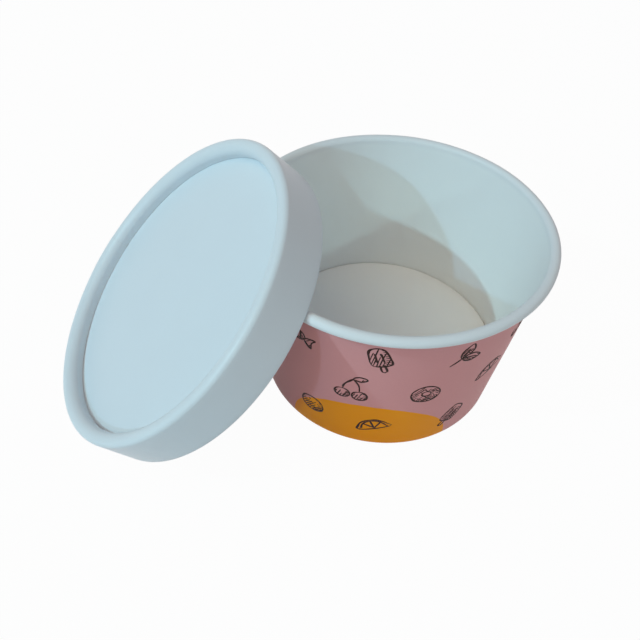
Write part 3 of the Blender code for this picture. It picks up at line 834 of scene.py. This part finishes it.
section = (pressed_line((corner[0][0], FLOOR_MIDDLE), FLOOR_SAG, FLOOR_STEPS, FLOOR_SAG_POWER)
           + corner + straight(corner[-1], skirt_end, SKIRT_STEPS) + [skirt_end])
base = draw_section("cup_base_board", section)
spin_section(base, BASE_ROUND)
weld(base, lambda place, normal: normal.z)
bpy.ops.object.mode_set(mode="EDIT")
shape = bmesh.from_edit_mesh(base.data)
for vertex in shape.verts:
    reach = math.hypot(vertex.co.x, vertex.co.y)
    if reach > 0 and vertex.co.z < base_bend_height:
        azimuth = math.atan2(vertex.co.y, vertex.co.x)
        depth = PLEAT_DEPTH * ramp(vertex.co.z, base_bend_height, PLEATS_FULL_AT)
        pull = depth * math.sin(PLEATS * azimuth)
        vertex.co.x *= 1 + pull / reach
        vertex.co.y *= 1 + pull / reach
bmesh.update_edit_mesh(base.data)
bpy.ops.object.mode_set(mode="OBJECT")
base_white = coated_board("coated_base_white", BASE_WHITE_WITH_PAINTED_LIGHT, shade=BASE_SHADE)
paint_slots(base, [base_white, base_white, raw], lambda place, normal: 0)
modify(base, "SOLIDIFY", thickness=BASE_BOARD, offset=0, use_even_offset=True,
       material_offset=1, material_offset_rim=2)
settle(base, CUP_PLACE)
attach(base, "root")
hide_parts("cup_base")


# Band of the lid: a strip of coated board, wrapped round the panel and glued over itself. Its top
# is folded over, tightly outside and in a wide turn inside, down to the panel, and its open edge
# is rolled in.
LID_PLACE = (-0.030774, 0, 0.033515)
LID_TURN = (0, -math.radians(43.8), 0)
LID_RADIUS = 0.0489
LID_BOARD = 0.00045
RIM_SHOULDER = (0.047375, 0.013275)
RIM_SHOULDER_TURN = 0.0013
RIM_FOLD = (0.047, 0.012175)
RIM_FOLD_TURN = 0.0024
RIM_LEG_FOOT = (0.0451, 0.00986)
EDGE_ROLL = (0.0481, 0.0008)
EDGE_ROLL_TURN = 0.000575
EDGE_ROLL_ANGLE = math.radians(230)
LID_LAP_AZIMUTH = math.radians(118)
FOLD_PRESS = 0.8
LID_ROUND = 288
EDGE_ROLL_STEPS = 16
BAND_STEPS = 10
SHOULDER_STEPS = 8
RIM_FOLD_STEPS = 12
LEG_STEPS = 4
# Between these heights the band is plain, and its faces tell which way is out
PLAIN_BAND = (0.004, 0.01)
# Painted shade: the lid's band is given a darker, bluer white than the cup's, though it is the same
# board
LID_WHITE_WITH_PAINTED_SHADE = (0.745, 0.80, 0.83)
LID_SHADE = 0.95
LID_ROUGHNESS = 0.28

edge_roll = bend(EDGE_ROLL, EDGE_ROLL_TURN, -EDGE_ROLL_ANGLE, 0, EDGE_ROLL_STEPS)
shoulder = bend(RIM_SHOULDER, RIM_SHOULDER_TURN, 0, QUARTER_TURN, SHOULDER_STEPS)
rim_fold = bend(RIM_FOLD, RIM_FOLD_TURN, QUARTER_TURN, HALF_TURN, RIM_FOLD_STEPS)
section = (edge_roll + straight(edge_roll[-1], shoulder[0], BAND_STEPS) + shoulder + rim_fold
           + straight(rim_fold[-1], RIM_LEG_FOOT, LEG_STEPS) + [RIM_LEG_FOOT])
band = draw_section("lid_band_board", section)
lap_turn = LAP_WIDTH / LID_RADIUS
spin_section(band, LID_ROUND, TURN + lap_turn, LID_LAP_AZIMUTH)
step_turn = (TURN + lap_turn) / LID_ROUND


def fold_press(place):
    """How hard the lap is pressed: not at all on the band, and in full on the fold's leg."""
    if math.hypot(place.x, place.y) < RIM_SHOULDER[0]:
        return FOLD_PRESS
    return FOLD_PRESS * ramp(place.z, RIM_SHOULDER[1] - RIM_FOLD_TURN, RIM_SHOULDER[1])


lapped = weigh(band, "lap", lambda index, place: (1 - fold_press(place)) *
               lap_lift(index // len(section) * step_turn * LID_RADIUS, LID_BOARD))
weld(band, lambda place, normal: away_from_axis(place, normal, *PLAIN_BAND))
modify(band, "DISPLACE", strength=LID_BOARD, mid_level=0, vertex_group=lapped)
lid_white = coated_board("coated_lid_white", LID_WHITE_WITH_PAINTED_SHADE, shade=LID_SHADE, roughness=LID_ROUGHNESS)
paint_slots(band, [lid_white, lid_white, raw], lambda place, normal: 0)
modify(band, "SOLIDIFY", thickness=LID_BOARD, offset=0, use_even_offset=True,
       material_offset=1, material_offset_rim=2)
settle(band, LID_PLACE, LID_TURN)
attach(band, "root")
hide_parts("lid_band")


# Panel of the lid: a disc of the same board, pressed with a flange that is glued inside the band
# under its fold. It dishes in very slightly.
PANEL_BOARD = 0.0005
PANEL_MIDDLE = 0.00955
PANEL_BEND_TURN = 0.00065
PANEL_FLANGE = 0.0479
PANEL_DISH = 0.0001
PANEL_DISH_POWER = 3
PANEL_STEPS = 26
PANEL_BEND_STEPS = 7
FLANGE_STEPS = 4
PANEL_ROUND = 256
# Painted shade: the lid's panel is given a darker, bluer white than the cup's, though it is the
# same board
PANEL_WHITE_WITH_PAINTED_SHADE = (0.755, 0.82, 0.86)
PANEL_SHADE = 0.94
PANEL_ROUGHNESS = 0.3

panel_bend = (PANEL_FLANGE - PANEL_BEND_TURN, PANEL_MIDDLE + PANEL_BEND_TURN)
corner = bend(panel_bend, PANEL_BEND_TURN, -QUARTER_TURN, 0, PANEL_BEND_STEPS)
flange_end = (PANEL_FLANGE, RIM_SHOULDER[1])
section = (pressed_line((corner[0][0], PANEL_MIDDLE), PANEL_DISH, PANEL_STEPS, PANEL_DISH_POWER)
           + corner + straight(corner[-1], flange_end, FLANGE_STEPS) + [flange_end])
panel = draw_section("lid_panel_board", section)
spin_section(panel, PANEL_ROUND)
weld(panel, lambda place, normal: normal.z)
panel_white = coated_board("coated_panel_white", PANEL_WHITE_WITH_PAINTED_SHADE, shade=PANEL_SHADE,
                           roughness=PANEL_ROUGHNESS)
paint_slots(panel, [panel_white, panel_white, raw], lambda place, normal: 0)
modify(panel, "SOLIDIFY", thickness=PANEL_BOARD, offset=0, use_even_offset=True,
       material_offset=1, material_offset_rim=2)
settle(panel, LID_PLACE, LID_TURN)
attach(panel, "root")
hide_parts("lid_panel")


bpy.context.scene.view_settings.view_transform = "Standard"
